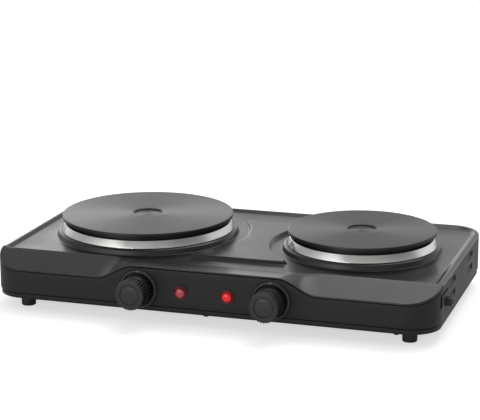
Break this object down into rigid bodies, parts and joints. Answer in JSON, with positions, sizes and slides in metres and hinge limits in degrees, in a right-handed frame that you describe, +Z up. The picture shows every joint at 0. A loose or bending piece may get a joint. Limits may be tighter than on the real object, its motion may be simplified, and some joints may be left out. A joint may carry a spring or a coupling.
{
  "type": "electric hot plate",
  "caption": "Portable electric cooker with a large and a small cast-iron hot plate in bright rings, a stepped steel deck, front dials and lamps, and side louvres.",
  "frame": {"origin": "on the table under the middle of the whole outline, feet at z = 0", "axes": "+X to the right seen from the front, +Y to the rear, +Z up"},
  "size_m": [0.475, 0.2824, 0.0786],
  "materials": {
    "deck_enamel": "satin",
    "frame_enamel": "satin",
    "base_steel": "matte",
    "foot_rubber": "matte",
    "zinc_steel": "satin",
    "cast_iron_plate": "satin",
    "stainless_ring": "polished",
    "coil_sheath": "matte",
    "magnesia": "matte",
    "steatite": "satin",
    "shield_steel": "satin",
    "thermostat_case": "satin",
    "knob_plastic": "matte",
    "cap_plastic": "satin",
    "bezel_plastic": "satin",
    "lamp_red": "gloss",
    "neon_glass": "gloss",
    "gland_plastic": "matte",
    "terminal_plastic": "matte"
  },
  "bodies": {
    "root": {"top_cover": "deck_enamel", "side_frame": "frame_enamel", "base_pan": "base_steel", "foot_front_left": "foot_rubber", "foot_front_right": "foot_rubber", "foot_rear_left": "foot_rubber", "foot_rear_right": "foot_rubber", "foot_screws": "zinc_steel", "base_screws": "zinc_steel", "left_hot_plate": "cast_iron_plate", "right_hot_plate": "cast_iron_plate", "left_trim_ring": "stainless_ring", "right_trim_ring": "stainless_ring", "left_heating_coil": "coil_sheath", "right_heating_coil": "coil_sheath", "left_ceramic_bed": "magnesia", "right_ceramic_bed": "magnesia", "left_heat_shield": "shield_steel", "right_heat_shield": "shield_steel", "left_plate_stud": "zinc_steel", "right_plate_stud": "zinc_steel", "stud_nuts": "zinc_steel", "left_clamp_bridge": "shield_steel", "right_clamp_bridge": "shield_steel", "left_terminal_block": "steatite", "right_terminal_block": "steatite", "left_thermostat": "thermostat_case", "right_thermostat": "thermostat_case", "thermostat_screws": "zinc_steel", "left_bezel": "bezel_plastic", "right_bezel": "bezel_plastic", "left_lamp_lens": "lamp_red", "right_lamp_lens": "lamp_red", "left_neon_lamp": "neon_glass", "right_neon_lamp": "neon_glass", "cord_gland": "gland_plastic", "mains_terminal_block": "terminal_plastic"},
    "left_dial": {"left_knob": "knob_plastic", "left_knob_cap": "cap_plastic", "left_control_shaft": "zinc_steel"},
    "right_dial": {"right_knob": "knob_plastic", "right_knob_cap": "cap_plastic", "right_control_shaft": "zinc_steel"}
  },
  "joints": [
    {"name": "left_dial_turn", "type": "hinge", "parent": "root", "child": "left_dial", "pos_m": [-0.0728, -0.11475, 0.0364], "axis": [0, 1, 0], "range_deg": [0, 270]},
    {"name": "right_dial_turn", "type": "hinge", "parent": "root", "child": "right_dial", "pos_m": [0.0668, -0.11475, 0.0364], "axis": [0, 1, 0], "range_deg": [0, 270]}
  ]
}
